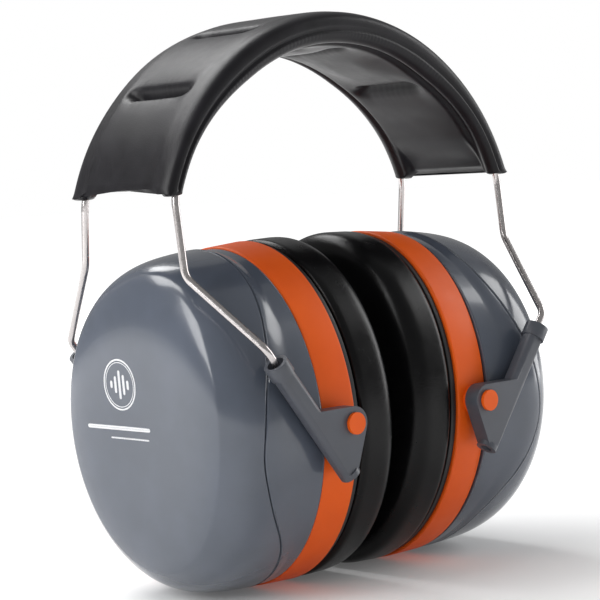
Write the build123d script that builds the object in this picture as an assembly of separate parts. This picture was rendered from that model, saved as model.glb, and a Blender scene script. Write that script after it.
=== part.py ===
from build123d import *
import math
import os

# An over-the-head earmuff hearing protector, in millimetres.
# +X is towards the wearer's left or right ear, +Y is towards the back of the head, +Z is up.
# The origin is under the crown of the headband, where it rests on the head.
# Every cup piece is modelled upright on the +X side, in a frame whose height 0 is the pivot pins',
# then tilted, lowered and, for the other ear, mirrored.

os.makedirs("parts", exist_ok=True)

# Headband: two sprung wires run side by side inside one padded cover, bent to a round arch
BAND_R = 80.0  # outer radius of the padded arch
BAND_THICK = 11.5
BAND_HALF_WIDTH = 25.5
BAND_END = 18.0  # degrees above horizontal at which the cover stops
BAND_SKIN = 1.5
WIRE_R = 1.2
WIRE_ARC_R = 74.1
WIRE_Y = 23.2
WIRE_ARC_END = 25.0  # degrees above horizontal at which the wire leaves its arc
CHANNEL_R = 2.1  # the tunnel for each wire in the cover's rim
HINGE_X = 42.0  # where each wire is cut, to stand for its bending
HINGE_GAP = 1.35
ARCH_Z = -(BAND_R - BAND_THICK)

# Legs: below the cover each wire drops, kinks outwards past the cup and enters the arm's sleeve
PIN_X = 29.6
ARCH_RISE = 49.0  # height of the arch's centre above the pins
PIN_Z = ARCH_Z - ARCH_RISE
EXIT = (70.6, 72.6)  # x and height above the pins
UPPER_KINK = (70.3, 25.6, 51.0)
FRONT_LEFT_KINK_DROP = 3.0  # this one wire was bent a little lower
EXIT_BEND, UPPER_BEND, LOWER_BEND = 16.0, 6.5, 5.0

# Arms: a sleeve that slides on the wire, with a web to the pivot
SLEEVE_TOP = (57.8, 21.3)
SLEEVE_SLOPE = math.radians(36.4)  # from vertical
SLEEVE_LENGTH = 46.5
SLEEVE_Y = 50.3
SLEEVE_DEPTH = 5.4
SLEEVE_WIDTH = 6.4
COLLAR_R, COLLAR_LENGTH = 3.9, 4.6
MOUTH_R, MOUTH_DEPTH = 2.7, 3.0
GUIDE_R, GUIDE_END = 1.28, 12.0
CHAMBER_R = 1.85
BEAD_R, BEAD_LENGTH = 1.6, 2.5  # upset end of the wire, which stops the arm coming off
END_RECESS = 1.8
LOWER_KINK_RISE = 5.4  # along the sleeve's line, above its mouth
BOSS_R = 5.2
ARM_HOLE_R = 2.47
WEB_REACH = 14.6  # how far in from the sleeve's mouth the web's flat top ends
WEB_TOP_R, WEB_TOE_R = 2.2, 2.4
LIP_LENGTH, LIP_RISE = 1.8, 0.6
POCKET_WALL = 1.8
# circles round the hollow moulded into the web, as (x from the pin, height, radius)
POCKET = [(7.6, 1.6, 1.4), (9.0, 2.0, 1.0), (3.4, -8.4, 0.9)]

# Pins
PIN_R = 2.4
PIN_HEAD_R, PIN_HEAD_THICK = 3.4, 1.1
PIN_GAP = 0.1

# Cups
CUP_TILT = 1.86  # degrees, lower edge inwards
RING_X0, RING_X1 = 22.8, 36.3
RING_Y, RING_Z = 46.2, 56.0
RING_TAPER = 0.7
RING_WALL = 2.9
RING_BOSS_R = 4.6
DOME_Y, DOME_Z = 46.4, 54.8
DOME_REACH = 34.9
DOME_POWER = 5.12  # how square the dome's outline is from front to back
DOME_WALL = 2.4
DOME_STEPS = 11
DOME_LAST_STEP = 82.5  # degrees; the little that is left is the flat middle of the face
# the joint between base shell and cap, as (height, distance from the wearer's middle)
SEAM = [
    (-60, 40.5),
    (-45, 43.5),
    (-35, 48.4),
    (-25, 56.5),
    (-8, 62.0),
    (12, 58.5),
    (30, 51.3),
    (45, 45.0),
    (60, 42.3),
]
PLATE_X0, PLATE_X1 = 20.6, 22.7
PLATE_NECK = 4.0
EAR_Y, EAR_Z = 19.5, 32.0
CUSHION_X0 = 3.7
CUSHION_SKIN = 1.2
CUSHION_FACE_ROUND, CUSHION_BACK_ROUND = 7.0, 2.0
DISC_X, DISC_THICK = 27.6, 4.0
LINER_X0, LINER_WALL = 38.0, 9.0
GAP = 0.2  # between pieces that lie against each other

DOWN = (-math.sin(SLEEVE_SLOPE), 0, -math.cos(SLEEVE_SLOPE))


def oval(half_y, half_z, x0, x1):
    """An elliptical disc that stands across X, from x0 to x1."""
    return Pos(x0, 0, 0) * extrude(Plane.YZ * Ellipse(half_y, half_z), amount=x1 - x0)


def dome(start, reach, half_y, half_z):
    """A solid dome along X: elliptical across, and a rounded square from pin line to outer face."""
    sections = []
    for k in range(DOME_STEPS + 1):
        turn = math.radians(DOME_LAST_STEP * k / DOME_STEPS)
        out = math.sin(turn) ** (2 / DOME_POWER)
        across = math.cos(turn) ** (2 / DOME_POWER)
        sections.append(Plane.YZ.offset(start + reach * out) * Ellipse(half_y * across, half_z * across))
    return loft(sections, ruled=True)


def outside_seam():
    """Everything on the cap's side of the joint line, as a block that runs right across Y."""
    line = [(x, z) for z, x in SEAM]
    far = RING_X1 + DOME_REACH + 10
    curve = Spline(line)
    corners = Polyline(line[-1], (far, line[-1][1]), (far, line[0][1]), line[0])
    return extrude(Plane.XZ * make_face([curve, corners]), amount=DOME_Y + 10, both=True)


def set_in_place(shape):
    """Tilts a cup piece about its pins and lowers it to its height on the headband."""
    return Pos(PIN_X, 0, PIN_Z) * Rot(0, CUP_TILT, 0) * Pos(-PIN_X, 0, 0) * shape


def along_y(radius, x, y0, y1):
    """A cylinder along Y at the pins' height, from y0 to y1."""
    return Pos(x, (y0 + y1) / 2, 0) * Rot(90, 0, 0) * Cylinder(radius, abs(y1 - y0))


# Cup pieces, for the +X ear


def shells():
    """The base shell next to the ring and the cap that closes it, both hollow."""
    outside = dome(RING_X1, DOME_REACH, DOME_Y, DOME_Z)
    inside = dome(RING_X1 - 1, DOME_REACH + 1 - DOME_WALL, DOME_Y - DOME_WALL, DOME_Z - DOME_WALL)
    shell = outside - inside
    block = outside_seam()
    return shell - block, shell & block


def mid_ring():
    """The coloured ring, with the bosses that the pins are pressed into."""
    wide = Plane.YZ.offset(RING_X0) * Ellipse(RING_Y, RING_Z)
    narrow = Plane.YZ.offset(RING_X1) * Ellipse(RING_Y - RING_TAPER, RING_Z - RING_TAPER)
    ring = loft([wide, narrow])
    reach = SLEEVE_Y - SLEEVE_DEPTH / 2 - PIN_GAP
    for way in (-1, 1):
        ring += along_y(RING_BOSS_R, PIN_X, way * (RING_Y - 4), way * reach)
    ring -= oval(RING_Y - RING_WALL, RING_Z - RING_WALL, RING_X0 - 1, RING_X1 + 1)
    for way in (-1, 1):
        ring -= along_y(PIN_R + 0.03, PIN_X, way * (RING_Y - 6), way * (reach + 1))
    return ring


def carrier_plate():
    """The stiff plate that the cushion is welded to; its neck snaps into the ring."""
    fit_y, fit_z = RING_Y - RING_WALL - GAP, RING_Z - RING_WALL - GAP
    plate = oval(RING_Y - 1, RING_Z - 1, PLATE_X0, PLATE_X1)
    plate += oval(fit_y, fit_z, PLATE_X1, PLATE_X1 + PLATE_NECK)
    plate -= oval(fit_y - 2, fit_z - 2, PLATE_X1, PLATE_X1 + PLATE_NECK + 1)
    return plate - oval(EAR_Y + 1, EAR_Z + 1, PLATE_X0 - 1, PLATE_X1 + 1)


def cushion():
    """The soft ring that seals round the ear: a closed skin, and the foam ring inside it."""
    back = PLATE_X0 - GAP
    ring = oval(RING_Y, RING_Z, CUSHION_X0, back)
    ring = fillet(ring.edges().sort_by(Axis.X)[0], CUSHION_FACE_ROUND)
    ring = fillet(ring.edges().sort_by(Axis.X)[-1], CUSHION_BACK_ROUND)
    ring -= oval(EAR_Y, EAR_Z, CUSHION_X0 - 1, back + 1)
    hollow = [CUSHION_X0 + CUSHION_SKIN, back - CUSHION_SKIN]
    deep = CUSHION_FACE_ROUND - 1
    space = oval(RING_Y - deep, RING_Z - deep, *hollow) - oval(EAR_Y + 1.6, EAR_Z + 1.6, *hollow)
    inner = [hollow[0] + GAP, hollow[1] - GAP]
    foam = oval(RING_Y - deep - GAP, RING_Z - deep - GAP, *inner)
    foam -= oval(EAR_Y + 1.6 + GAP, EAR_Z + 1.6 + GAP, *inner)
    return ring - space, foam


def foam_disc():
    """The soft disc behind the ear opening."""
    inset = RING_WALL + 2 + 2 * GAP + 0.5
    return oval(RING_Y - inset, RING_Z - inset, DISC_X, DISC_X + DISC_THICK)


def cup_foam():
    """The sound-absorbing block that lines the hollow of the cup."""
    inset = DOME_WALL + 1.5
    reach = RING_X1 + DOME_REACH - inset - LINER_X0
    block = dome(LINER_X0, reach, DOME_Y - inset, DOME_Z - inset)
    hollow = oval(DOME_Y - inset - LINER_WALL, DOME_Z - inset - LINER_WALL, LINER_X0 - 1, LINER_X0 + 16)
    return block - hollow


def pin(way):
    """A headed pivot pin; way is -1 at the front and 1 at the back."""
    face = SLEEVE_Y + SLEEVE_DEPTH / 2 + PIN_GAP
    head = along_y(PIN_HEAD_R, PIN_X, way * face, way * (face + PIN_HEAD_THICK))
    return head + along_y(PIN_R, PIN_X, way * (RING_Y - RING_WALL), way * face)


# Arms and wires, for the +X ear and the front


def sleeve_plane(distance):
    """A plane across the sleeve, this far below its mouth."""
    x, z = SLEEVE_TOP
    start = (x + DOWN[0] * distance, -SLEEVE_Y, z + DOWN[2] * distance)
    return Plane(origin=start, x_dir=(0, 1, 0), z_dir=DOWN)


def arm():
    """The moulded arm: collar, sleeve, web and pivot boss, with the wire's passage cut through."""
    end = sleeve_plane(SLEEVE_LENGTH).origin
    sleeve = extrude(
        sleeve_plane(COLLAR_LENGTH - 1) * RectangleRounded(SLEEVE_DEPTH, SLEEVE_WIDTH, 2.0),
        amount=SLEEVE_LENGTH - COLLAR_LENGTH + 1,
    )
    collar = extrude(sleeve_plane(0) * Circle(COLLAR_R), amount=COLLAR_LENGTH)
    lip = extrude(
        sleeve_plane(SLEEVE_LENGTH - LIP_LENGTH) * Circle(SLEEVE_DEPTH / 2 + LIP_RISE),
        amount=LIP_LENGTH,
    )
    corners = [
        Pos(PIN_X, 0) * Circle(BOSS_R),
        Pos(SLEEVE_TOP[0] - WEB_REACH, BOSS_R - WEB_TOP_R) * Circle(WEB_TOP_R),
        Pos(end.X + 1.2, end.Z + 2.6) * Circle(WEB_TOE_R),
    ]
    web_outline = make_hull([corner.edge() for corner in corners])
    web = extrude(
        Pos(0, -SLEEVE_Y + SLEEVE_DEPTH / 2, 0) * (Plane.XZ * web_outline.face()), amount=SLEEVE_DEPTH
    )
    pocket_corners = [Pos(PIN_X + x, z) * Circle(r) for x, z, r in POCKET]
    pocket_outline = make_hull([corner.edge() for corner in pocket_corners])
    pocket = extrude(
        Pos(0, -SLEEVE_Y + SLEEVE_DEPTH / 2, 0) * (Plane.XZ * pocket_outline.face()),
        amount=SLEEVE_DEPTH - POCKET_WALL,
    )
    body = web - pocket + sleeve + collar + lip
    body -= extrude(sleeve_plane(-1) * Circle(MOUTH_R), amount=MOUTH_DEPTH + 1)
    body -= extrude(sleeve_plane(0) * Circle(GUIDE_R), amount=GUIDE_END)
    body -= extrude(sleeve_plane(GUIDE_END) * Circle(CHAMBER_R), amount=SLEEVE_LENGTH)
    return body - along_y(ARM_HOLE_R, PIN_X, -SLEEVE_Y - SLEEVE_DEPTH, -SLEEVE_Y + SLEEVE_DEPTH)


def hinge_height():
    """Height above the pins of the wire's centre line at the cut."""
    return ARCH_RISE + math.sqrt(WIRE_ARC_R**2 - HINGE_X**2)


def leg_wire(kink_drop):
    """The sprung wire from its cut in the cover down to its upset end in the sleeve."""
    cut_angle = math.acos(HINGE_X / WIRE_ARC_R)
    exit_angle = math.radians(WIRE_ARC_END)
    middle = (cut_angle + exit_angle) / 2
    corner = WIRE_ARC_R / math.cos((cut_angle - exit_angle) / 2)
    kink_x, kink_y, kink_z = UPPER_KINK
    lower = sleeve_plane(-LOWER_KINK_RISE).origin
    end = sleeve_plane(SLEEVE_LENGTH - END_RECESS).origin
    route = [
        (HINGE_X, -WIRE_Y, hinge_height()),
        (corner * math.cos(middle), -WIRE_Y, ARCH_RISE + corner * math.sin(middle)),
        (EXIT[0], -WIRE_Y, EXIT[1]),
        (kink_x, -kink_y, kink_z - kink_drop),
        tuple(lower),
        tuple(end),
    ]
    bends = [WIRE_ARC_R - 2, EXIT_BEND, UPPER_BEND, LOWER_BEND]
    path = FilletPolyline(*route, radius=bends)
    wire = sweep(Plane(origin=path @ 0, z_dir=path % 0) * Circle(WIRE_R), path)
    wire += Pos(HINGE_X, -WIRE_Y, hinge_height()) * Sphere(WIRE_R)
    bead = sleeve_plane(SLEEVE_LENGTH - END_RECESS - BEAD_LENGTH)
    return wire + extrude(bead * Circle(BEAD_R), amount=BEAD_LENGTH)


# Headband, which spans both sides


def crown_wire():
    """The middle of the front sprung wire, between the two cuts."""
    half = 90 - math.degrees(math.acos(HINGE_X / WIRE_ARC_R)) - math.degrees(HINGE_GAP / WIRE_ARC_R)
    arc = Plane.XZ * CenterArc((0, 0), WIRE_ARC_R, 90 - half, 2 * half)
    path = Pos(0, -WIRE_Y, ARCH_Z) * arc
    return sweep(Plane(origin=path @ 0, z_dir=path % 0) * Circle(WIRE_R), path)


def arch(section, end):
    """Bends a section, drawn as (Y, radius), round the arch from end degrees to the other end."""
    flat = Pos(0, 0, ARCH_Z) * (Plane.YZ * section)
    swung = Pos(0, 0, ARCH_Z) * Rot(0, 90 - end, 0) * Pos(0, 0, -ARCH_Z) * flat
    return revolve(swung, Axis((0, 0, ARCH_Z), (0, 1, 0)), -(180 - 2 * end))


def headband_cover():
    """The padded cover: a hollow arch with a rim tunnel for each wire."""
    middle = BAND_R - BAND_THICK / 2
    outline = Pos(0, middle) * RectangleRounded(2 * BAND_HALF_WIDTH, BAND_THICK, 3.5)
    cover = arch(outline, BAND_END)
    pocket = Pos(0, middle) * Rectangle(2 * (WIRE_Y - 4.2), BAND_THICK - 2 * BAND_SKIN)
    cover -= arch(pocket, BAND_END + 3)
    for way in (-1, 1):
        cover -= arch(Pos(way * WIRE_Y, WIRE_ARC_R) * Circle(CHANNEL_R), BAND_END - 2)
    return cover


def headband_foam():
    """The pad inside the cover."""
    middle = BAND_R - BAND_THICK / 2
    width = 2 * (WIRE_Y - 4.2 - GAP)
    return arch(Pos(0, middle) * Rectangle(width, BAND_THICK - 2 * BAND_SKIN - 2 * GAP), BAND_END + 6)


def write(name, shape):
    """One STEP file for each named piece, always as solids without wrapping."""
    solids = shape.solids()
    whole = solids[0] if len(solids) == 1 else Compound(children=list(solids))
    whole.label = name
    export_step(whole, f"parts/{name}.step")
    print(name, len(solids), "solid", round(sum(s.volume for s in solids)), "mm3")


def lowered(shape):
    """From the pins' height frame to the row's frame."""
    return Pos(0, 0, PIN_Z) * shape


def main():
    base, cap = shells()
    skin, foam = cushion()
    cup = {
        "outer_cap": cap,
        "base_shell": base,
        "mid_ring": mid_ring(),
        "carrier_plate": carrier_plate(),
        "ear_cushion": skin,
        "cushion_foam": foam,
        "foam_disc": foam_disc(),
        "cup_foam": cup_foam(),
        "front_pin": pin(-1),
        "back_pin": pin(1),
    }
    front_arm = lowered(arm())
    for side in ("left", "right"):
        other_ear = (lambda s: s) if side == "right" else (lambda s: mirror(s, Plane.YZ))
        for name, shape in cup.items():
            write(f"{side}_{name}", other_ear(set_in_place(shape)))
        write(f"{side}_front_arm", other_ear(front_arm))
        write(f"{side}_back_arm", other_ear(mirror(front_arm, Plane.XZ)))
        drop = FRONT_LEFT_KINK_DROP if side == "left" else 0.0
        write(f"{side}_front_wire", other_ear(lowered(leg_wire(drop))))
        write(f"{side}_back_wire", other_ear(mirror(lowered(leg_wire(0.0)), Plane.XZ)))
    write("crown_front_wire", crown_wire())
    write("crown_back_wire", mirror(crown_wire(), Plane.XZ))
    write("headband_cover", headband_cover())
    write("headband_foam", headband_foam())


main()
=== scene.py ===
# %% [markdown]
# # A pair of wire-band earmuffs
# Two deep hearing-protection cups hang from a padded headband on sprung steel wires.
# The measured model is loaded first and stays as it is. Everything added here is drawn in the
# same space, in metres, so a new piece lands on the part that it stands for.

# %% Load the measured model
import math

import bpy
import numpy as np
from mathutils import Matrix, Vector


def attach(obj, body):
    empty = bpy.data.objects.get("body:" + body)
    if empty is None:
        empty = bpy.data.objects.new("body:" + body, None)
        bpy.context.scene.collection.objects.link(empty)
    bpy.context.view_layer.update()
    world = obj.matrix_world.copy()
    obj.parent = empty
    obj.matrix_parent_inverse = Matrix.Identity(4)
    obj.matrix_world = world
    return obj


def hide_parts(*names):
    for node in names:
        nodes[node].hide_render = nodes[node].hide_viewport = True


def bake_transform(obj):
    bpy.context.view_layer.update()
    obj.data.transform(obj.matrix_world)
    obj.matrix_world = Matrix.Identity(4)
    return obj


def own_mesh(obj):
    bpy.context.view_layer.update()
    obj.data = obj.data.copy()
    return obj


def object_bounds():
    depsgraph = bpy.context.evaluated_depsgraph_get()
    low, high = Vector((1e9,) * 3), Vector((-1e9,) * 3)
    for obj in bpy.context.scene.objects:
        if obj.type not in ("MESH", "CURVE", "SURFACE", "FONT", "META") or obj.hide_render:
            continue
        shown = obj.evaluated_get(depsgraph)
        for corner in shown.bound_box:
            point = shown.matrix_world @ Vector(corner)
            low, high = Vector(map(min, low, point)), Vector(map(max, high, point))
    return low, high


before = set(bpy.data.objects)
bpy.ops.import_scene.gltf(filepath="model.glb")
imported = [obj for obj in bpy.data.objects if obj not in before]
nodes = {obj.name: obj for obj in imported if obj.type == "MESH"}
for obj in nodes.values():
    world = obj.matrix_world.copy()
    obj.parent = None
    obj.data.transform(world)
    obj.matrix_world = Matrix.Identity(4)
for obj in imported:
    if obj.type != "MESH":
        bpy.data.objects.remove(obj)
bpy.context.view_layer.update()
scene = bpy.context.scene

# %% [markdown]
# ## Where the camera stands
# The view is a long lens from the front left, a little above the ear cups. A camera in Blender
# looks down its own -Z axis with +Y up, so its three axes are worked out one by one: back from
# the target, then right and up, then a small roll about the line of sight.

# %% Camera
def axis_turn(azimuth, elevation):
    """Unit vectors back, right and up for a viewer at this azimuth from -Y and this elevation."""
    a, e = math.radians(azimuth), math.radians(elevation)
    back = Vector((math.sin(a) * math.cos(e), -math.cos(a) * math.cos(e), math.sin(e)))
    right = Vector((math.cos(a), math.sin(a), 0))
    return back, right, back.cross(right)


back, right, up = axis_turn(-41.33, 7.25)
middle = Vector((0, 0, -0.1244))
place = middle + back * 0.6837
target = middle + right * -0.00197 + up * 0.04166
sight = (target - place).normalized()
level = sight.cross(Vector((0, 0, 1))).normalized()
above = level.cross(sight)
roll = math.radians(3.40)
camera_right = level * math.cos(roll) - above * math.sin(roll)
camera_up = level * math.sin(roll) + above * math.cos(roll)
camera = bpy.data.objects.new("camera", bpy.data.cameras.new("camera"))
camera.data.lens = 122.2
camera.data.sensor_width = 36
turn = Matrix((camera_right, camera_up, -sight)).transposed().to_4x4()
camera.matrix_world = Matrix.Translation(place) @ turn
scene.collection.objects.link(camera)
scene.camera = camera
print("camera at", [round(v, 3) for v in place])

# %% [markdown]
# ## Grids of points
# Nearly every piece below is a grid: one number runs along it and another runs round it, and a
# formula gives the point. Numpy works out the whole grid at once. One helper then joins
# neighbours into four-sided faces, closes the ends, and turns all faces outwards by the sign of
# the volume that they enclose.

# %% Grid helpers
def grid_faces(rows, columns, wrap_rows):
    """Four-sided faces between each point and its neighbours; columns always close up."""
    r = np.arange(rows if wrap_rows else rows - 1)[:, None]
    c = np.arange(columns)[None, :]
    below, beside = (r + 1) % rows, (c + 1) % columns
    corners = [r * columns + c, r * columns + beside, below * columns + beside, below * columns + c]
    return np.stack(corners, -1).reshape(-1, 4)


def enclosed(points, faces):
    """Six times the volume inside: the sum of each face's box product."""
    a, b, c, d = (points[faces[:, k]] for k in range(4))
    return np.sum(a * np.cross(b, c)) + np.sum(a * np.cross(c, d))


def make_piece(name, grid, ends="wrap"):
    """A smooth mesh on a grid of points in metres. ends is wrap, poles or flats."""
    rows, columns = grid.shape[:2]
    faces = grid_faces(rows, columns, ends == "wrap")
    points = grid.reshape(-1, 3)
    inside_out = enclosed(points, faces) < 0
    extra = []
    if ends == "poles":
        first, last = len(points), len(points) + 1
        points = np.vstack([points, grid[0].mean(0), grid[-1].mean(0)])
        k = np.arange(columns)
        nxt = (k + 1) % columns
        end = (rows - 1) * columns
        extra = np.stack([nxt, k, np.full(columns, first)], -1).tolist()
        extra += np.stack([end + k, end + nxt, np.full(columns, last)], -1).tolist()
    if ends == "flats":
        extra = [list(range(columns))[::-1], list(range((rows - 1) * columns, rows * columns))]
    polygons = faces.tolist() + extra
    if inside_out:
        polygons = [p[::-1] for p in polygons]
    mesh = bpy.data.meshes.new(name)
    mesh.from_pydata(points.tolist(), [], polygons)
    mesh.polygons.foreach_set("use_smooth", [True] * len(mesh.polygons))
    mesh.validate()
    piece = bpy.data.objects.new(name, mesh)
    scene.collection.objects.link(piece)
    print(name, len(mesh.polygons), "faces")
    return piece


def normals_of(grid):
    """Unit normals of a grid whose columns close up: the cross of its two directions."""
    down = np.gradient(grid, axis=0)
    across = np.roll(grid, -1, 1) - np.roll(grid, 1, 1)
    normal = np.cross(down, across)
    return normal / (np.linalg.norm(normal, axis=-1, keepdims=True) + 1e-12)


def smooth_step(x, low, high):
    """0 below low, 1 above high, and an S-shaped rise between them."""
    t = np.clip((x - low) / (high - low), 0, 1)
    return t * t * (3 - 2 * t)


def finer(grid, axis, wrap):
    """Twice the points along one axis. A new point is 9/16 of each neighbour less 1/16 of the
    next ones."""
    g = np.moveaxis(grid, axis, 0)
    if wrap:
        before, nxt, after = np.roll(g, 1, 0), np.roll(g, -1, 0), np.roll(g, -2, 0)
        new = (9 * (g + nxt) - before - after) / 16
        out = np.empty((2 * len(g),) + g.shape[1:])
        out[0::2], out[1::2] = g, new
    else:
        padded = np.concatenate([2 * g[:1] - g[1:2], g, 2 * g[-1:] - g[-2:-1]])
        new = (9 * (padded[1:-2] + padded[2:-1]) - padded[:-3] - padded[3:]) / 16
        out = np.empty((2 * len(g) - 1,) + g.shape[1:])
        out[0::2], out[1::2] = g, new
    return np.moveaxis(out, 0, axis)


# %% [markdown]
# ## From the right-hand cup to either ear
# Cup pieces are drawn once, in millimetres, for the right ear, with height 0 at the pivot pins.
# This helper leans them in at the bottom as the real cups hang, lowers them to the pins' place
# and mirrors them for the left ear.

# %% Put a cup piece at an ear
PIN_X, PIN_Z, LEAN = 29.6, -117.5, math.radians(1.86)


def at_ear(grid, side):
    """Turns points about the pin line and lowers them; the left ear is mirrored. In metres."""
    x, y, z = grid[..., 0] - PIN_X, grid[..., 1], grid[..., 2]
    turned_x = x * math.cos(LEAN) + z * math.sin(LEAN) + PIN_X
    turned_z = z * math.cos(LEAN) - x * math.sin(LEAN) + PIN_Z
    way = -1 if side == "left" else 1
    return np.stack([way * turned_x, y, turned_z], -1) / 1000


# %% [markdown]
# ## Finishes
# A material starts from the Principled shader. Its fixed numbers go straight on the shader's own
# sockets. What varies over the surface, such as a mottled colour, a patchy gloss or a fine
# grain, comes from noise and cell textures that read the piece's own coordinates, so the pattern
# keeps its real size in metres and stays put when the piece moves.

# %% Material helpers
def linear(red, green, blue):
    """A colour as read off a screen, from 0 to 255, turned into the light it stands for."""
    c = np.array([red, green, blue]) / 255
    out = np.where(c <= 0.04045, c / 12.92, ((c + 0.055) / 1.055) ** 2.4)
    return (*out.tolist(), 1.0)


class Finish:
    """A material under construction: a Principled shader and the textures that feed it."""

    def __init__(self, name, **sockets):
        self.material = bpy.data.materials.new(name)
        self.material.use_nodes = True
        self.tree = self.material.node_tree
        self.shader = self.tree.nodes["Principled BSDF"]
        for socket, value in sockets.items():
            self.shader.inputs[socket.replace("_", " ")].default_value = value
        self.place = self.node("ShaderNodeTexCoord").outputs["Object"]

    def node(self, kind, inputs=(), **settings):
        made = self.tree.nodes.new(kind)
        for key, value in settings.items():
            setattr(made, key, value)
        for key, value in dict(inputs).items():
            if isinstance(value, bpy.types.NodeSocket):
                self.tree.links.new(value, made.inputs[key])
            else:
                made.inputs[key].default_value = value
        return made

    def noise(self, scale, detail=3, roughness=0.5, where=None):
        found = self.node(
            "ShaderNodeTexNoise",
            {
                "Vector": where or self.place,
                "Scale": scale,
                "Detail": detail,
                "Roughness": roughness,
            },
        )
        return found.outputs["Fac"]

    def cells(self, scale, feature="F1"):
        found = self.node(
            "ShaderNodeTexVoronoi", {"Vector": self.place, "Scale": scale}, feature=feature
        )
        return found.outputs["Distance"]

    def between(self, value, low, high, out_low, out_high):
        """A value carried from one range to another, held at its ends."""
        found = self.node(
            "ShaderNodeMapRange",
            {
                "Value": value,
                "From Min": low,
                "From Max": high,
                "To Min": out_low,
                "To Max": out_high,
            },
        )
        return found.outputs["Result"]

    def colour_between(self, value, dark, light):
        mix = self.node("ShaderNodeMix", data_type="RGBA")
        self.tree.links.new(value, mix.inputs["Factor"])
        mix.inputs[6].default_value, mix.inputs[7].default_value = dark, light
        return mix.outputs[2]

    def feed(self, socket, value):
        self.tree.links.new(value, self.shader.inputs[socket])

    def bumps(self, *heights):
        """Chains bump nodes, one for each (height, how deep in metres, strength)."""
        normal = None
        for height, depth, strength in heights:
            inputs = {"Height": height, "Distance": depth, "Strength": strength}
            if normal is not None:
                inputs["Normal"] = normal
            normal = self.node("ShaderNodeBump", inputs).outputs["Normal"]
        self.feed("Normal", normal)


# %% [markdown]
# ## Moulded plastic
# The cups are glossy ABS. Up close, moulded gloss is never perfect: there is a very shallow
# waviness that bends reflections, hair-fine scuffs that dull it in places, and a slight drift in
# colour. The arms and the orange ring come from tools with a satin face, so their grain is
# stronger and their gloss is lower.

# %% Plastics
def moulded(name, dark, light, gloss, grain, depth, coat=0.0, specular=0.5):
    """Plastic with colour from dark to light, roughness in the range gloss and a grain of this
    scale."""
    f = Finish(
        name, IOR=1.5, Specular_IOR_Level=specular, Coat_Weight=coat, Coat_Roughness=0.06
    )
    mottle = f.between(f.noise(38, 4), 0.35, 0.65, 0, 1)
    f.feed("Base Color", f.colour_between(mottle, dark, light))
    f.feed("Roughness", f.between(f.noise(160, 6, 0.65), 0.3, 0.7, *gloss))
    f.bumps((f.noise(26, 2), 0.0006, 0.10), (f.noise(grain, 2, 0.6), depth, 0.5))
    return f.material


shell_grey = moulded(
    "glossy_shell_grey", linear(73, 79, 90), linear(80, 86, 98), (0.17, 0.25), 2600, 0.000012, 0.35
)
arm_grey = moulded(
    "satin_arm_grey", linear(70, 73, 80), linear(78, 81, 89), (0.36, 0.46), 3200, 0.00003
)
ring_orange = moulded(
    "satin_orange",
    linear(226, 87, 9),
    linear(236, 95, 13),
    (0.42, 0.52),
    2800,
    0.00002,
    specular=0.25,
)
plate_black = moulded(
    "black_plate", linear(20, 20, 22), linear(28, 28, 30), (0.38, 0.5), 2400, 0.00003
)
print("plastics ready")

# %% [markdown]
# ## Vinyl, steel and foam
# The ear cushions are a thin smooth vinyl, stretched over foam. The headband cover is a heavier
# vinyl with a faint leather print: cells with soft borders, plus long shallow creases. The wire
# is drawn stainless steel, which is bright with fine streaks. The foam is open-celled.

# %% Soft and metal finishes
def vinyl(name, dark, light, gloss, specular, cell, cell_depth, crease_depth):
    """Leather-printed vinyl: cell borders sink a little and broad creases bend the gloss."""
    f = Finish(name, IOR=1.45, Specular_IOR_Level=specular)
    mottle = f.between(f.noise(60, 4), 0.35, 0.65, 0, 1)
    f.feed("Base Color", f.colour_between(mottle, dark, light))
    f.feed("Roughness", f.between(f.noise(240, 5, 0.6), 0.3, 0.7, *gloss))
    border = f.between(f.cells(cell, "DISTANCE_TO_EDGE"), 0.0, 0.25, 0, 1)
    f.bumps(
        (f.noise(55, 3, 0.55), crease_depth, 0.35),
        (border, cell_depth, 0.5),
        (f.noise(cell * 3, 2), cell_depth * 0.6, 0.4),
    )
    return f.material


cushion_vinyl = vinyl(
    "cushion_vinyl",
    linear(9, 9, 10),
    linear(14, 14, 15),
    (0.19, 0.28),
    0.22,
    1500,
    0.00003,
    0.0001,
)
band_vinyl = vinyl(
    "headband_vinyl",
    linear(19, 18, 21),
    linear(27, 26, 30),
    (0.34, 0.42),
    0.28,
    1250,
    0.00002,
    0.0002,
)


def drawn_steel():
    """Bright metal whose fine streaks come from noise stretched along the wires' upright run."""
    f = Finish("drawn_steel", Metallic=1.0, IOR=2.5)
    stretched = f.node("ShaderNodeMapping", {"Vector": f.place, "Scale": (1.0, 1.0, 0.06)})
    lines = f.noise(2600, 2, 0.5, stretched.outputs["Vector"])
    f.feed("Base Color", f.colour_between(lines, linear(184, 179, 178), linear(206, 201, 200)))
    f.feed("Roughness", f.between(f.noise(900, 4), 0.3, 0.7, 0.2, 0.28))
    f.bumps((lines, 0.000003, 0.15))
    return f.material


def open_foam():
    """Dark reticulated foam: two sizes of cell, deep between their walls, with no gloss at all."""
    f = Finish("open_foam", Roughness=0.95, IOR=1.4)
    cell = f.cells(780)
    # Painted shade: the colour darkens towards each cell's middle, where the bump sinks it, in
    # place of the shade inside the pores.
    painted_pore_shade = f.between(cell, 0, 0.6, 0, 1)
    f.feed("Base Color", f.colour_between(painted_pore_shade, linear(16, 16, 17), linear(52, 52, 55)))
    f.bumps((cell, 0.0009, 1.0), (f.cells(2100), 0.0003, 0.7))
    return f.material


steel, foam = drawn_steel(), open_foam()
print("vinyl, steel and foam ready")

# %% [markdown]
# ## The shells' common surface
# A cup is a deep oval dome with a rather square shoulder and a gently crowned face. Across it is
# an ellipse. Along it, a superellipse takes the outline from the ring up the side, round the
# shoulder and over the face. On the cap a fine raised line runs round the face, where the face
# panel meets the side: a shallow ridge with a sharp crest does that.

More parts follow.
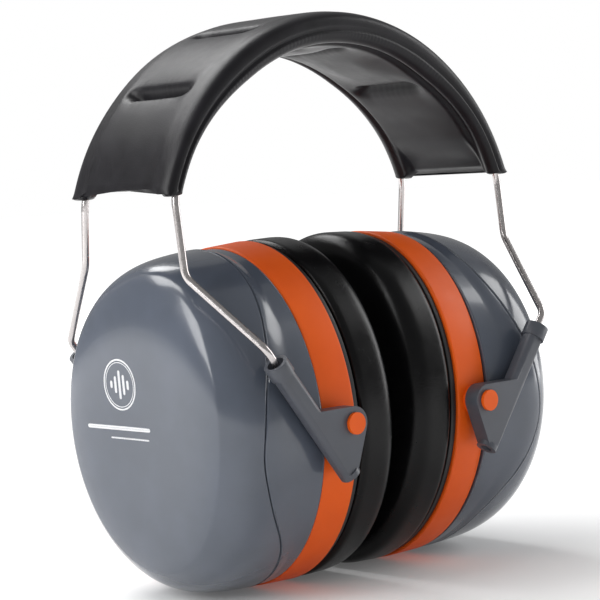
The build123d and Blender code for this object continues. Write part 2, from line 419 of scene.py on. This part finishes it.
# %% Dome formula
RING_X1, REACH, HALF_Y, HALF_Z, POWER = 36.3, 34.9, 46.4, 54.8, 5.12
SEAM_HEIGHT = np.array([-60, -45, -35, -25, -8, 12, 30, 45, 60], float)
SEAM_X = np.array([40.5, 43.5, 48.4, 56.5, 62.0, 58.5, 51.3, 45.0, 42.3])
WALL = 2.2


def dome(climb, around):
    """climb is 0 at the ring and a quarter turn at the face's middle. With c and s its cosine and
    sine, and m the power, r is (c^m + s^m)^(-1/m); the point is r s of the reach outwards, and
    r c of the ellipse across. The ellipse grows 6% in Y and loses 5.5% in Z towards the face."""
    c, s = np.cos(climb), np.sin(climb)
    r = (np.abs(c) ** POWER + np.abs(s) ** POWER) ** (-1 / POWER)
    out, across = r * s, r * c
    x = RING_X1 + REACH * out
    y = HALF_Y * (1 + 0.06 * out) * across * np.cos(around)
    z = HALF_Z * (1 - 0.055 * out) * across * np.sin(around)
    return np.stack(np.broadcast_arrays(x, y, z), -1)


def seam_x(height):
    """Distance of the joint line from the wearer's middle, at this height: a smooth curve through
    the measured points, each weighed by a bell of its distance."""
    weight = np.exp(-(((height[..., None] - SEAM_FINE_Z) / 7.0) ** 2))
    return (weight * SEAM_FINE_X).sum(-1) / weight.sum(-1)


SEAM_FINE_Z = np.linspace(-66, 66, 133)
SEAM_FINE_X = np.interp(SEAM_FINE_Z, SEAM_HEIGHT, SEAM_X)


def climb_to_seam(around):
    """For each angle around, the climb at which the dome crosses the joint line, by halving."""
    low, high = np.zeros_like(around), np.full_like(around, math.pi / 2)
    for _ in range(40):
        half = (low + high) / 2
        point = dome(half, around)
        on_cap = point[..., 0] > seam_x(point[..., 2])
        low, high = np.where(on_cap, low, half), np.where(on_cap, half, high)
    return high


around = np.linspace(0, 2 * math.pi, 288, endpoint=False)
seam_climb = climb_to_seam(around)
print("seam climbs from", np.degrees([seam_climb.min(), seam_climb.max()]).round(), "degrees")

# %% [markdown]
# ## A wall with rounded edges
# Both shells are thin walls. A wall is the outer surface, a rounded edge that turns in, the same
# surface moved inwards by the wall's thickness, and, for the base shell, a second edge back to
# the start. So each shell is one closed skin, with a hairline gap where the two meet.

# %% Wall helper
def rounded_edge(surface, normal, outwards, radius=0.4, steps=4):
    """Rows that turn from the outer face over an edge to the inner face. Each corner is a quarter
    circle: centre + radius (normal cos + outwards sin)."""
    turn = np.linspace(0, math.pi / 2, steps + 1)[:, None, None]
    first = surface - radius * outwards - radius * normal
    second = surface - radius * outwards - (WALL - radius) * normal
    outer = first + radius * (normal * np.cos(turn) + outwards * np.sin(turn))
    inner = second + radius * (outwards * np.cos(turn) - normal * np.sin(turn))
    return np.concatenate([outer, inner])


def edge_direction(grid, row, neighbour):
    """Unit vectors from the neighbouring row to this one: the way out over the edge."""
    d = grid[row] - grid[neighbour]
    return d / np.linalg.norm(d, axis=-1, keepdims=True)


CREASE_Y, CREASE_Z, CREASE_MIDDLE, CREASE_RISE = 37.5, 46.5, 3.0, 1.9


def crease(grid):
    """How far the cap stands proud: highest on the oval line round the face, and falling off
    exponentially on both sides of it, faster outside."""
    q = np.hypot(grid[..., 1] / CREASE_Y, (grid[..., 2] - CREASE_MIDDLE) / CREASE_Z) - 1
    distance = np.sqrt(q * q + 0.012**2) - 0.012
    return CREASE_RISE * np.exp(-distance / np.where(q > 0, 0.16, 0.42))


# %% [markdown]
# ## Outer cap and base shell
# The cap is drawn from the middle of the face outwards to the joint line, and the base shell
# from the joint line in to the ring.

# %% Cap and base grids
def cap_normals(outer):
    """Normals that point away from the wearer near the middle of the face."""
    normal = normals_of(outer)
    return normal * np.sign(np.mean(normal[5, :, 0]))


def cap_grid():
    """The cap's outer face, its edge at the joint line, and its inner face."""
    rows = 150
    share = np.linspace(0, 1, rows)[:, None]
    climb = math.pi / 2 - 0.004 + (seam_climb[None] + 0.003 - math.pi / 2 + 0.004) * share
    outer = dome(climb, around[None])
    outer = outer + crease(outer)[..., None] * cap_normals(outer)
    normal = cap_normals(outer)
    edge = rounded_edge(outer[-1], normal[-1], edge_direction(outer, -1, -2))
    inner = (outer - WALL * normal)[:-2:5][::-1]
    return np.concatenate([outer[:-1], edge, inner])


def base_grid():
    """The base shell's outer face, its foot at the ring, its inner face and its upper edge."""
    rows = 60
    share = np.linspace(0, 1, rows)[:, None]
    climb = (seam_climb[None] - 0.003) * (1 - share) + 0.004 * share
    outer = dome(climb, around[None])
    at_seam = crease(dome(seam_climb, around))[None, :, None]
    rise = at_seam * (1 - smooth_step(share, 0, 0.5))[..., None]
    normal = normals_of(outer)
    normal *= np.sign(np.mean(np.sum(normal[5] * outer[5] * [0, 1, 1], -1)))
    outer = outer + rise * normal
    top = rounded_edge(outer[0], normal[0], edge_direction(outer, 0, 1))
    foot = rounded_edge(outer[-1], normal[-1], edge_direction(outer, -1, -2))
    inner = (outer - WALL * normal)[1:-1:3][::-1]
    return np.concatenate([outer[1:-1], foot, inner, top[::-1]])


cap, base = cap_grid(), base_grid()
for side in ("left", "right"):
    for name, grid, ends in (("outer_cap", cap, "poles"), ("base_shell", base, "wrap")):
        piece = make_piece(f"{side}_{name}_skin", at_ear(grid, side), ends)
        piece.data.materials.append(shell_grey)
        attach(piece, f"{side}_cup")
        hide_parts(f"{side}_{name}")

# %% [markdown]
# ## A plain printed mark
# The left cup carries a pad print in white ink: a ring round five bars, like a sound meter, over
# two thin rules. It is a sign of this lesson's own, with no lettering. Ink is a film a few
# hundredths of a millimetre thick, so each mark is a thin closed shell laid on the cap's face.
# Where the face is comes from the cap's own grid: near each point of a mark, the face's distances
# are averaged with a bell-shaped weight.

# %% White print
def face_x(y, z):
    """The cap's distance out at (y, z): a mean of the grid's points, weighed by
    exp(-(distance / 1.1 mm)^2)."""
    known = cap[:130:2, ::2].reshape(-1, 3)
    near = (y[..., None] - known[:, 1]) ** 2 + (z[..., None] - known[:, 2]) ** 2
    weight = np.exp(-near / 1.1**2)
    return (weight * known[:, 0]).sum(-1) / weight.sum(-1)


def ink(inner, outer):
    """A closed film between two outlines, each (columns, 2) of y and z: 0.04 mm proud of the
    face, and sunk 0.15 mm into it."""
    rims = np.stack([inner, outer, outer, inner])
    x = face_x(rims[..., 0], rims[..., 1]) + np.array([0.04, 0.04, -0.15, -0.15])[:, None]
    return np.concatenate([x[..., None], rims], -1)


def ring_mark(y, z, radius, width, columns=96):
    a = np.linspace(0, 2 * math.pi, columns, endpoint=False)
    unit = np.stack([np.cos(a), np.sin(a)], -1)
    return ink([y, z] + (radius - width) * unit, [y, z] + radius * unit)


def bar_mark(y, z, long_y, long_z, width, columns=48):
    """A bar with round ends: each outline point is a half-width away from the bar's middle line."""
    a = np.linspace(0, 2 * math.pi, columns, endpoint=False)
    unit = np.stack([np.cos(a), np.sin(a)], -1)
    line = np.array([y, z]) + np.tanh(6 * unit) * [long_y / 2, long_z / 2]
    return ink(line + unit * 0.02, line + unit * width / 2)


white_ink = moulded(
    "white_ink", linear(214, 215, 218), linear(230, 231, 233), (0.4, 0.5), 3000, 0.00001
)
marks = {"ring": ring_mark(9, 15.5, 8.2, 0.55), "inner_ring": ring_mark(9, 15.5, 7.2, 0.25)}
for k, height in enumerate((3.0, 6.4, 9.2, 5.4, 2.4)):
    marks[f"bar_{k + 1}"] = bar_mark(9 + 2.1 * (k - 2), 15.5, 0, height - 1.1, 1.1)
marks["upper_rule"] = bar_mark(11.5, 1.6, 31, 0, 1.3)
marks["lower_rule"] = bar_mark(6.0, -1.6, 19, 0, 0.5)
for name, grid in marks.items():
    piece = make_piece(f"left_print_{name}", at_ear(grid, "left"))
    piece.data.materials.append(white_ink)
    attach(piece, "left_cup")

# %% [markdown]
# ## Rings round an oval
# The coloured ring and the cushions are one profile carried round an ellipse. The profile gives
# a distance along X and how far in it lies, and the two half axes follow from that.

# %% Oval sweep and the coloured ring
def oval_sweep(x, half_y, half_z, columns=288):
    """Each profile point goes round its own ellipse: y = half_y cos, z = half_z sin."""
    angle = np.linspace(0, 2 * math.pi, columns, endpoint=False)[None]
    y, z = half_y[:, None] * np.cos(angle), half_z[:, None] * np.sin(angle)
    return np.stack([np.broadcast_to(x[:, None], y.shape), y, z], -1)


def rounded_box(x0, x1, d0, d1, radius, steps=6):
    """A closed outline of a box with quarter-circle corners, and extra points along its sides."""
    turn = np.linspace(0, math.pi / 2, steps + 1)
    corners = [(x1, d1, 0), (x0, d1, 1), (x0, d0, 2), (x1, d0, 3)]
    parts = []
    for x, d, k in corners:
        cx = x - radius if x == x1 else x + radius
        cd = d - radius if d == d1 else d + radius
        t = turn + k * math.pi / 2
        parts.append(np.stack([cx + radius * np.cos(t), cd + radius * np.sin(t)], -1))
    outline = np.concatenate(parts)
    return outline[:, 0], outline[:, 1]


RING_X0, RING_Y, RING_Z = 22.8, 46.2, 56.0
ring_x, ring_in = rounded_box(RING_X0, RING_X1 - 0.1, 0.0, 2.9, 0.7)
taper = 0.7 * (ring_x - RING_X0) / (RING_X1 - RING_X0)
ring = oval_sweep(ring_x, RING_Y - taper - ring_in, RING_Z - taper - ring_in)
for side in ("left", "right"):
    piece = make_piece(f"{side}_mid_ring_skin", at_ear(ring, side))
    piece.data.materials.append(ring_orange)
    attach(piece, f"{side}_cup")
    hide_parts(f"{side}_mid_ring")


# %% [markdown]
# The pins turn in short bosses on the ring. Each is a small drum with a rounded rim, made by
# carrying its radius round the pin's line.

# %% Pin bosses on the ring
def drum(radius, y0, y1, rim, columns=64):
    """A solid disc about the pin's line, from y0 to y1: the profile's radius r goes to
    (r cos, y, r sin)."""
    turn = np.linspace(0, math.pi / 2, 7)
    low, high = min(y0, y1), max(y0, y1)
    sin, cos = rim * np.sin(turn), rim * np.cos(turn)
    r = np.concatenate([[0.01], radius - rim + sin, radius - rim + cos, [0.01]])
    y = np.concatenate([[low], low + rim - cos, high - rim + sin, [high]])
    a = np.linspace(0, 2 * math.pi, columns, endpoint=False)[None]
    shape = (len(r), columns)
    y = np.broadcast_to(y[:, None], shape)
    return np.stack([PIN_X + r[:, None] * np.cos(a), y, r[:, None] * np.sin(a)], -1)


BOSS_R, BOSS_FOOT, BOSS_TOP, BOSS_RIM = 4.6, 44.6, 47.4, 0.4
for side in ("left", "right"):
    for name, way in (("front", -1), ("back", 1)):
        boss = drum(BOSS_R, way * BOSS_FOOT, way * BOSS_TOP, BOSS_RIM)
        piece = make_piece(f"{side}_{name}_ring_boss", at_ear(boss, side), "poles")
        piece.data.materials.append(ring_orange)
        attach(piece, f"{side}_cup")

# %% [markdown]
# ## Padded pieces settle as cloth
# A cushion is a vinyl bag that its foam pushes out, held where it is welded. So the welds of each
# padded piece are pinned, and Blender's cloth is given a little air pressure for twenty frames
# with no gravity. How far any point may move is limited afterwards. The formulas already give
# these pieces their puffed shape: the cloth only settles it, by less than half a millimetre on
# the headband and a tenth on a cushion.

# %% Cloth helper
def puffed(grid, pinned, ends, pressure, limit, frames=20, evened=10):
    """Returns the grid after the cloth has settled. pinned is from 0, free, to 1, welded. A point
    that moved d goes limit * tanh(d / limit) instead, after the moves are evened out among
    neighbours, which is what the stiffness of a heavy vinyl does to small wrinkles."""
    trial = make_piece("cloth_trial", grid, ends)
    count = grid.shape[0] * grid.shape[1]
    group = trial.vertex_groups.new(name="welds")
    for level in range(1, 11):
        members = np.flatnonzero(np.round(pinned.ravel() * 10) == level)
        group.add(members.tolist(), level / 10, "REPLACE")
    cloth = trial.modifiers.new("cloth", "CLOTH").settings
    cloth.vertex_group_mass = "welds"
    cloth.quality = 5
    cloth.mass = 0.25
    cloth.tension_stiffness = cloth.compression_stiffness = 12
    cloth.shear_stiffness = 6
    cloth.bending_stiffness = 6
    cloth.use_pressure = True
    cloth.uniform_pressure_force = pressure
    cloth.effector_weights.gravity = 0
    for frame_number in range(1, frames + 1):
        scene.frame_set(frame_number)
    settled = trial.evaluated_get(bpy.context.evaluated_depsgraph_get()).to_mesh()
    points = np.empty(len(settled.vertices) * 3)
    settled.vertices.foreach_get("co", points)
    points = points.reshape(-1, 3)[:count].reshape(grid.shape)
    bpy.data.objects.remove(trial)
    scene.frame_set(1)
    moved = points - grid
    for _ in range(evened):
        moved = (np.roll(moved, 1, 1) + 2 * moved + np.roll(moved, -1, 1)) / 4
        inner = (moved[:-2] + 2 * moved[1:-1] + moved[2:]) / 4
        moved = np.concatenate([moved[:1], inner, moved[-1:]])
    moved = moved * (1 - 0.85 * pinned[..., None])
    far = np.linalg.norm(moved, axis=-1, keepdims=True)
    print("cloth moved, in mm: most", (far.max() * 1000).round(2))
    return grid + moved * limit * np.tanh(far / limit) / np.maximum(far, 1e-9)


# %% [markdown]
# ## Ear cushions
# A deep soft ring that seals round the ear. Its skin is welded flat to the carrier plate, climbs
# round a full outer edge, crowns over the face and drops into the ear opening. A superellipse
# gives that section, rounder at the face than at the back.
#
# The height slides also run inwards. With both slides out and the band closed the cushions
# still overlap.

# %% Cushion section, settled once and used at both ears
CUSHION_FACE, CUSHION_BACK, EAR_Y, EAR_Z = 3.9, 20.45, 19.5, 32.0


def cushion_grid(inset=0.0, rows=76, columns=288):
    """p runs from 0 at the outer wall to 1 at the ear opening. With a going round the section,
    x = middle + half sign(cos) |cos|^(2/n) and p = 1/2 - 1/2 sign(sin) |sin|^(2/n)."""
    a = np.linspace(0, 2 * math.pi, 4 * rows, endpoint=False)
    n = np.where(np.cos(a) < 0, 3.3, 14.0)
    cos, sin = np.cos(a), np.sin(a)
    x = np.sign(cos) * np.abs(cos) ** (2 / n)
    p = np.sign(sin) * np.abs(sin) ** (2 / 3.6)
    length = np.concatenate([[0], np.cumsum(np.hypot(np.diff(x) * 8.3, np.diff(p) * 13))])
    even = np.linspace(0, length[-1], rows, endpoint=False)
    x, p = np.interp(even, length, x), np.interp(even, length, p)
    x = (CUSHION_FACE + CUSHION_BACK) / 2 + (CUSHION_BACK - CUSHION_FACE - 2 * inset) / 2 * x
    p = 0.5 - (0.5 - inset / 26) * p
    return oval_sweep(x, RING_Y + (EAR_Y - RING_Y) * p, RING_Z + (EAR_Z - RING_Z) * p, columns), x


slack_cushion, section_x = cushion_grid()
section_pin = smooth_step(section_x, CUSHION_BACK - 2.2, CUSHION_BACK - 0.4)
cushion_pins = np.broadcast_to(section_pin[:, None], slack_cushion.shape[:2])
cushion = puffed(slack_cushion / 1000, cushion_pins, "wrap", 3.0, 0.0009) * 1000
foam_ring, _ = cushion_grid(inset=2.0, rows=36, columns=144)
for side in ("left", "right"):
    for name, grid, finish, label in (
        ("ear_cushion", cushion, cushion_vinyl, "cushion_skin"),
        ("cushion_foam", foam_ring, foam, "soft_foam"),
    ):
        piece = make_piece(f"{side}_{name}_soft", at_ear(grid, side))
        piece.data.materials.append(finish)
        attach(piece, f"{side}_cup")
        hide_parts(f"{side}_{name}")
        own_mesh(piece)

# %% [markdown]
# ## Foam disc behind the ear opening
# A soft open-cell disc shows at the bottom of each ear opening. It is a flat pad with a rounded
# rim and a gently uneven face, since it lies loose on the foam block behind it.

# %% Foam disc
DISC_X, DISC_HALF, DISC_Y, DISC_Z = 29.6, 2.0, 40.3, 50.1


def foam_disc_grid(rows=40, columns=200):
    """Front face, rim and back face in turn: share of the radius against depth, with a rounded
    rim, plus a shallow swell of two crossed waves on the front."""
    t = np.linspace(0, math.pi, rows)
    share = np.sin(t) ** 0.35
    depth = DISC_X - DISC_HALF * np.sign(np.cos(t)) * np.abs(np.cos(t)) ** 0.5
    grid = oval_sweep(depth, DISC_Y * share, DISC_Z * share, columns)
    swell = np.sin(grid[..., 1] / 7.0) * np.sin(grid[..., 2] / 9.0 + 0.6)
    grid[..., 0] += 0.35 * swell * (grid[..., 0] < DISC_X)
    return grid[1:-1]


for side in ("left", "right"):
    piece = make_piece(f"{side}_foam_disc_soft", at_ear(foam_disc_grid(), side), "poles")
    piece.data.materials.append(foam)
    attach(piece, f"{side}_cup")
    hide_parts(f"{side}_foam_disc")

# %% [markdown]
# ## Headband cover
# Two panels of vinyl are welded together round foam pads and round the two wires, which run in
# a tunnel along each edge. The outer panel has short sewn-in creases across it, the inner panel
# bulges towards the head between its own creases, and at each end the middle stops a little
# short of the two wire tunnels.
#
# One grid covers it all: one direction follows the arch, the other goes round the section. The
# section is a squared ellipse whose thickness changes along the arch and across the width.

# %% Headband grid
ARCH_Z, BAND_R, BAND_HALF, BAND_END = -68.5, 80.0, 25.5, 18.0
GROOVES_OUT, GROOVES_IN = (45.0, 70.0, 110.0, 135.0), (52.0, 82.0, 98.0, 128.0)
PILLOWS = (67.0, 90.0, 113.0)
SKIN_R = 78  # where lengths along the arch are measured


def unit_section(count):
    """Even steps round the squared ellipse |y|^n + |t|^n = 1, measured at its real size."""
    a = np.linspace(0, 2 * math.pi, 4000, endpoint=False) + math.pi / 2
    y = np.sign(np.cos(a)) * np.abs(np.cos(a)) ** (2 / 7.0)
    t = np.sign(np.sin(a)) * np.abs(np.sin(a)) ** (2 / 3.4)
    length = np.concatenate([[0], np.cumsum(np.hypot(np.diff(y) * BAND_HALF, np.diff(t) * 5.5))])
    even = np.linspace(0, length[-1] * count / (count + 1), count)
    return np.interp(even, length, y), np.interp(even, length, t)


def band_layout(rows, count):
    """Angle along the arch, place across the width and place through the thickness of each point.
    The middle of each end stops short of the rims."""
    y, t = unit_section(count)
    across = np.abs(y) * BAND_HALF
    share = np.linspace(0, 1, rows)[:, None]
    end = BAND_END + 1.4 * (1 - smooth_step(across, 17.5, 20.5))
    angle = end[None] + (180 - 2 * end[None]) * share
    shape = angle.shape
    return angle, np.broadcast_to(y * BAND_HALF, shape), np.broadcast_to(t, shape)


def along_from(angle, at):
    """Millimetres along the arch from the angle at."""
    return (angle - at) * math.radians(1) * SKIN_R


def bells(angle, places, *shapes):
    """A sum over the places of bells along the arch, one for each (height, width in mm)."""
    return sum(
        sum(height * np.exp(-((along_from(angle, at) / width) ** 2)) for height, width in shapes)
        for at in places
    )


def thickness(angle, y):
    """Half the thickness: full over the crown, less down the sides, thin in the middle of the
    ends, and rounded off to the very end by a square root."""
    from_end = np.minimum(angle, 180 - angle) - BAND_END
    along = from_end * math.radians(1) * BAND_R
    pad = 4.1 + 1.6 * smooth_step(from_end, 10, 42)
    middle = 1 - smooth_step(np.abs(y), 16.5, 20.5)
    half = pad - middle * (pad - 1.7) * (1 - smooth_step(along, 3, 20))
    short = along - 1.94 * middle
    return half * np.sqrt(np.clip(0.18 + short / 2.2, 0.18, 1))


def dents(angle, y, t):
    """How far the skin is drawn in, in millimetres: the short creases, as bells along the arch
    that stop short of the rims, and a shallow valley along each rim. Between the inner panel's
    creases it is below 0, where the panel bulges towards the head."""
    short = 1 - smooth_step(np.abs(y), 10.5, 17.5)
    outer = bells(angle, GROOVES_OUT, (1, 1.8), (0.2, 5))
    inner = bells(angle, GROOVES_IN, (1, 2.5), (0.35, 7))
    pillow = sum(np.exp(-(((angle - at) / 9) ** 2)) for at in PILLOWS)
    pillow = pillow * (1 - smooth_step(np.abs(y), 6, 19))
    valley_out = np.exp(-(((np.abs(y) - 19.8) / 1.6) ** 2))
    valley_in = np.exp(-(((np.abs(y) - 20.2) / 1.2) ** 2))
    outside = smooth_step(t, 0.55, 0.95)
    inside = smooth_step(-t, 0.55, 0.95)
    outer_dent = 3.5 * outer * short + 0.1 * valley_out
    inner_dent = 2.8 * inner * short + 1.3 * valley_in - 1.7 * pillow
    return outside * outer_dent + inside * inner_dent


def band_points(angle, y, t, inset=0.0):
    """Radius = the middle of the thickness, plus half the thickness times t, less the dents on
    either side; then (R cos angle, y, R sin angle) from the arch's centre. inset draws it in."""
    half = thickness(angle, y)
    centre = BAND_R - 0.1 - 5.7 + (5.7 - half) * 0.75
    dent = np.minimum(dents(angle, y, t) * np.minimum(1, half / 4), half - inset - 0.2)
    radius = centre + (half - inset).clip(0.2) * t - np.sign(t) * dent
    a = np.radians(angle)
    return np.stack([radius * np.cos(a), y, ARCH_Z + radius * np.sin(a)], -1)


angle, across, through = band_layout(221, 148)
slack_band = band_points(angle, across, through)
welds = np.clip(
    np.exp(-(((np.abs(across) - 20.0) / 1.2) ** 2)) * (np.abs(through) > 0.7)
    + smooth_step(np.abs(across), 21.0, 24.5)
    + 1.2 * np.clip(dents(angle, across, through) - 1.4, 0, 1)
    + 1 - smooth_step(np.minimum(angle, 180 - angle), BAND_END + 1.5, BAND_END + 5),
    0,
    1,
)
band = puffed(slack_band / 1000, welds, "flats", 3.0, 0.0012)
band = finer(finer(band, 1, True), 0, False)
angle, across, through = (
    finer(finer(g[..., None], 1, True), 0, False)[..., 0] for g in (angle, across, through)
)
print("headband grid", band.shape)

# %% [markdown]
# ## Weld lines and puckers
# Where the panels are welded, a fine line runs along each side, and the vinyl gathers against it
# in tiny pleats. They are too fine for the cloth, so they come after it, on a grid with
# twice the points both ways, as a push along the surface's own normals.

# %% Fine relief on the headband
def fine_relief(angle, y, t):
    """A narrow channel along the side, pleats beside it, gathers that fan from each crease, and
    slow waves; in metres."""
    arc = np.radians(angle) * SKIN_R
    side = smooth_step(np.abs(y), 24.2, 25.2)
    line = np.exp(-(((t + 0.15) / 0.10) ** 2)) * side
    beside = np.exp(-(((t + 0.42) / 0.22) ** 2)) * side
    pleat = np.sin(arc * 2 * math.pi / 1.7 + 1.3 * np.sin(arc / 9))
    pleat = pleat * (0.6 + 0.4 * np.sin(arc / 5.3))
    gathers = bells(angle, GROOVES_OUT, (1, 4.5)) * smooth_step(t, 0.6, 0.9)
    gathers = gathers + bells(angle, GROOVES_IN, (1, 4.5)) * smooth_step(-t, 0.6, 0.9)
    gathers = gathers * np.sin(y * 2 * math.pi / 3.1 + 1.7 * np.sin(y / 4))
    gathers = gathers * (1 - smooth_step(np.abs(y), 13, 18))
    slow = np.sin(arc / 6.1 + y / 9) * np.sin(y / 6.3 + 1)
    relief = -0.7 * line + 0.05 * beside * pleat + 0.03 * gathers + 0.05 * slow
    from_end = np.minimum(angle, 180 - angle)
    return relief * smooth_step(from_end, BAND_END + 0.5, BAND_END + 3) / 1000


SAMPLE_ROW = 200  # any row away from the ends tells which way is out
normal = normals_of(band)
sample = band[SAMPLE_ROW]
outwards = np.sign(np.sum(normal[SAMPLE_ROW] * (sample - sample.mean(0))))
band = band + outwards * normal * fine_relief(angle, across, through)[..., None]
normal = outwards * normals_of(band)

# %% [markdown]
# ## The cover in two halves
# When the earmuffs are spread, each side of the band springs outwards. The cover is cut at the
# crown, and nothing here makes the halves bend with the wires. Both halves keep the same points
# and the same normals along the cut, so it doesn't show.

# %% Two halves
middle_row = band.shape[0] // 2
crown_normal = normal[middle_row] * [0, 1, 1]
normal[middle_row] = crown_normal / np.linalg.norm(crown_normal, axis=-1, keepdims=True)


def pad_half(name, grid, side, finish, label, *stands_for):
    """A half that ends at the crown."""
    piece = make_piece(name, grid, "flats")
    piece.data.materials.append(finish)
    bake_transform(piece)
    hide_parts(*stands_for)
    return piece


for side, rows in (("right", slice(None, middle_row + 1)), ("left", slice(middle_row, None))):
    half = pad_half(
        f"{side}_headband_cover", band[rows], side, band_vinyl, "band_skin", "headband_cover"
    )
    half.data.normals_split_custom_set_from_vertices(normal[rows].reshape(-1, 3).tolist())

# %% [markdown]
# The pad inside is never seen, but it is there: the same arch, thinner and narrower.

# %% Foam inside the headband
foam_angle = np.linspace(24, 156, 121)[:, None]
foam_a = np.linspace(0, 2 * math.pi, 64, endpoint=False)[None]
foam_y = 18.0 * np.sign(np.cos(foam_a)) * np.abs(np.cos(foam_a)) ** 0.3
foam_t = np.sign(np.sin(foam_a)) * np.abs(np.sin(foam_a)) ** 0.5
foam_angle, foam_y, foam_t = np.broadcast_arrays(foam_angle, foam_y, foam_t)
foam_band = band_points(foam_angle, foam_y, foam_t, inset=1.6) / 1000
for side, rows in (("right", slice(None, 61)), ("left", slice(60, None))):
    half = pad_half(
        f"{side}_headband_foam", foam_band[rows], side, foam, "soft_foam", "headband_foam"
    )

# %% [markdown]
# ## Wires, arms, pins and plates
# These parts of the measured model already have the right shape, so they keep it and only get a
# finish. Moulded parts never have knife edges: merging the loose triangles and bevelling every
# sharp edge a little lets each edge catch the light.

# %% Finish the measured parts
def soften(node, width, segments=3):
    """Merges the triangles' shared corners, then rounds each edge sharper than 32 degrees."""
    weld = node.modifiers.new("weld", "WELD")
    weld.merge_threshold = 0.000005
    bevel = node.modifiers.new("rounded_edges", "BEVEL")
    bevel.width = width
    bevel.segments = segments
    bevel.limit_method = "ANGLE"
    bevel.angle_limit = math.radians(32)
    bevel.harden_normals = False


def repaint(name, finish):
    """Gives a measured part this finish alone, and returns the part."""
    node = nodes[name]
    node.data.materials.clear()
    node.data.materials.append(finish)
    return node


for side in ("left", "right"):
    for end in ("front", "back"):
        soften(repaint(f"{side}_{end}_arm", arm_grey), 0.0004)
        soften(repaint(f"{side}_{end}_pin", ring_orange), 0.0005)
        repaint(f"{side}_{end}_wire", steel)
    soften(repaint(f"{side}_carrier_plate", plate_black), 0.0003)
    repaint(f"{side}_cup_foam", foam)
for end in ("front", "back"):
    repaint(f"crown_{end}_wire", steel)
print("measured parts finished")

# %% [markdown]
# ## Floor and light
# The earmuffs stand on their cups on a plain white floor. Light comes from a large soft panel at
# the left, a narrower one at the right and one overhead. The surround gives an even, weaker
# light, so that the sides that face away from the panels stay darker, and it looks white. The
# paper glows a little further out, so that it blends into the surround.

# %% Stage
bpy.context.view_layer.update()
low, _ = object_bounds()
span = 6.0
floor_mesh = bpy.data.meshes.new("floor")
floor_mesh.from_pydata(
    [(-span, -span, low[2]), (span, -span, low[2]), (span, span, low[2]), (-span, span, low[2])],
    [],
    [(0, 1, 2, 3)],
)
floor = bpy.data.objects.new("floor", floor_mesh)
scene.collection.objects.link(floor)
paper = Finish("white_paper", Base_Color=(0.9, 0.9, 0.9, 1), Roughness=0.9)
paper.shader.inputs["Emission Color"].default_value = (1, 1, 1, 1)
reach = paper.node("ShaderNodeVectorMath", {0: paper.place}, operation="LENGTH").outputs["Value"]
paper.feed("Emission Strength", paper.between(reach, 0.3, 1.2, 0.08, 0.8))
paper.bumps((paper.noise(90, 3), 0.0002, 0.1))
floor_mesh.materials.append(paper.material)

world = bpy.data.worlds.new("surround")
world.use_nodes = True
world_nodes, world_links = world.node_tree.nodes, world.node_tree.links
surround = world_nodes["Background"]
surround.inputs["Color"].default_value = (1, 1, 1, 1)
surround.inputs["Strength"].default_value = 0.32
backdrop = world_nodes.new("ShaderNodeBackground")
backdrop.inputs["Color"].default_value = (1, 1, 1, 1)
choose = world_nodes.new("ShaderNodeMixShader")
seen = world_nodes.new("ShaderNodeLightPath").outputs["Is Camera Ray"]
world_links.new(seen, choose.inputs["Fac"])
world_links.new(surround.outputs[0], choose.inputs[1])
world_links.new(backdrop.outputs[0], choose.inputs[2])
world_links.new(choose.outputs[0], world_nodes["World Output"].inputs["Surface"])
scene.world = world
scene.view_settings.view_transform = "Standard"


def panel(name, place, width, height, power, aim=(0, 0, -0.1)):
    """A rectangular soft light at a place, facing a point on the object."""
    light = bpy.data.lights.new(name, "AREA")
    light.shape, light.size, light.size_y, light.energy = "RECTANGLE", width, height, power
    lamp = bpy.data.objects.new(name, light)
    lamp.location = place
    lamp.rotation_euler = (Vector(aim) - Vector(place)).to_track_quat("-Z", "Y").to_euler()
    scene.collection.objects.link(lamp)


panel("left_side", (-1.2, 0.2, 0.55), 0.7, 0.9, 12.5)
panel("right_side", (1.1, -0.35, 0.2), 0.5, 1.1, 7)
panel("overhead", (-0.15, 0.75, 1.1), 1.2, 0.8, 19)
print("floor at", round(low[2], 4))

# %% The end
bpy.context.view_layer.update()
